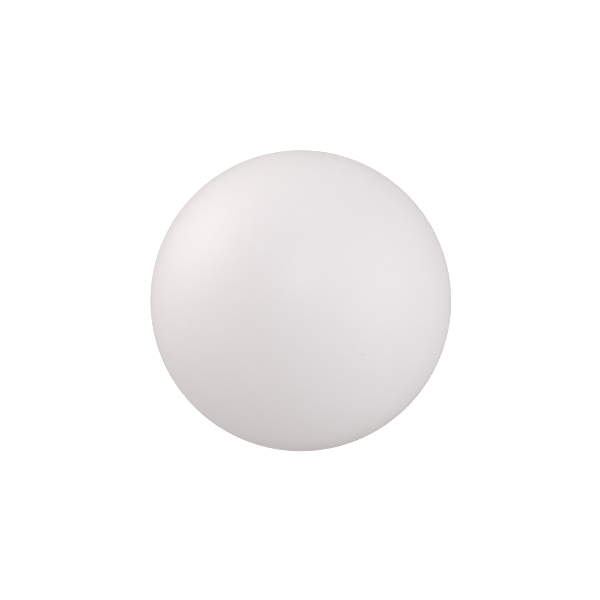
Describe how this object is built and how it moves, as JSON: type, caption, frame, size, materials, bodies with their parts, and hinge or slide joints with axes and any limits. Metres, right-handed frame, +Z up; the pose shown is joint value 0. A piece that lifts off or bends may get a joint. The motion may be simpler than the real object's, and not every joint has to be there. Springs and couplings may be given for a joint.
{
  "type": "cue ball",
  "caption": "White pool cue ball: a cast resin cover over perforated steel half shells, which a coin-operated table's magnet can pull on, round a solid cast resin core.",
  "frame": {"origin": "centre of the ball", "axes": "+Z up, through the pole of the upper steel half shell; the half shells meet on the XY plane; +X right and +Y away from the viewer, with a seam slot and finger pattern that repeats every quarter turn about Z"},
  "size_m": [0.0572, 0.0572, 0.0572],
  "materials": {
    "white_phenolic_resin": "satin",
    "plated_steel": "satin",
    "filled_core_resin": "matte"
  },
  "bodies": {
    "root": {"white_resin_cover": "white_phenolic_resin", "upper_steel_half_shell": "plated_steel", "lower_steel_half_shell": "plated_steel", "resin_core": "filled_core_resin"}
  },
  "joints": []
}
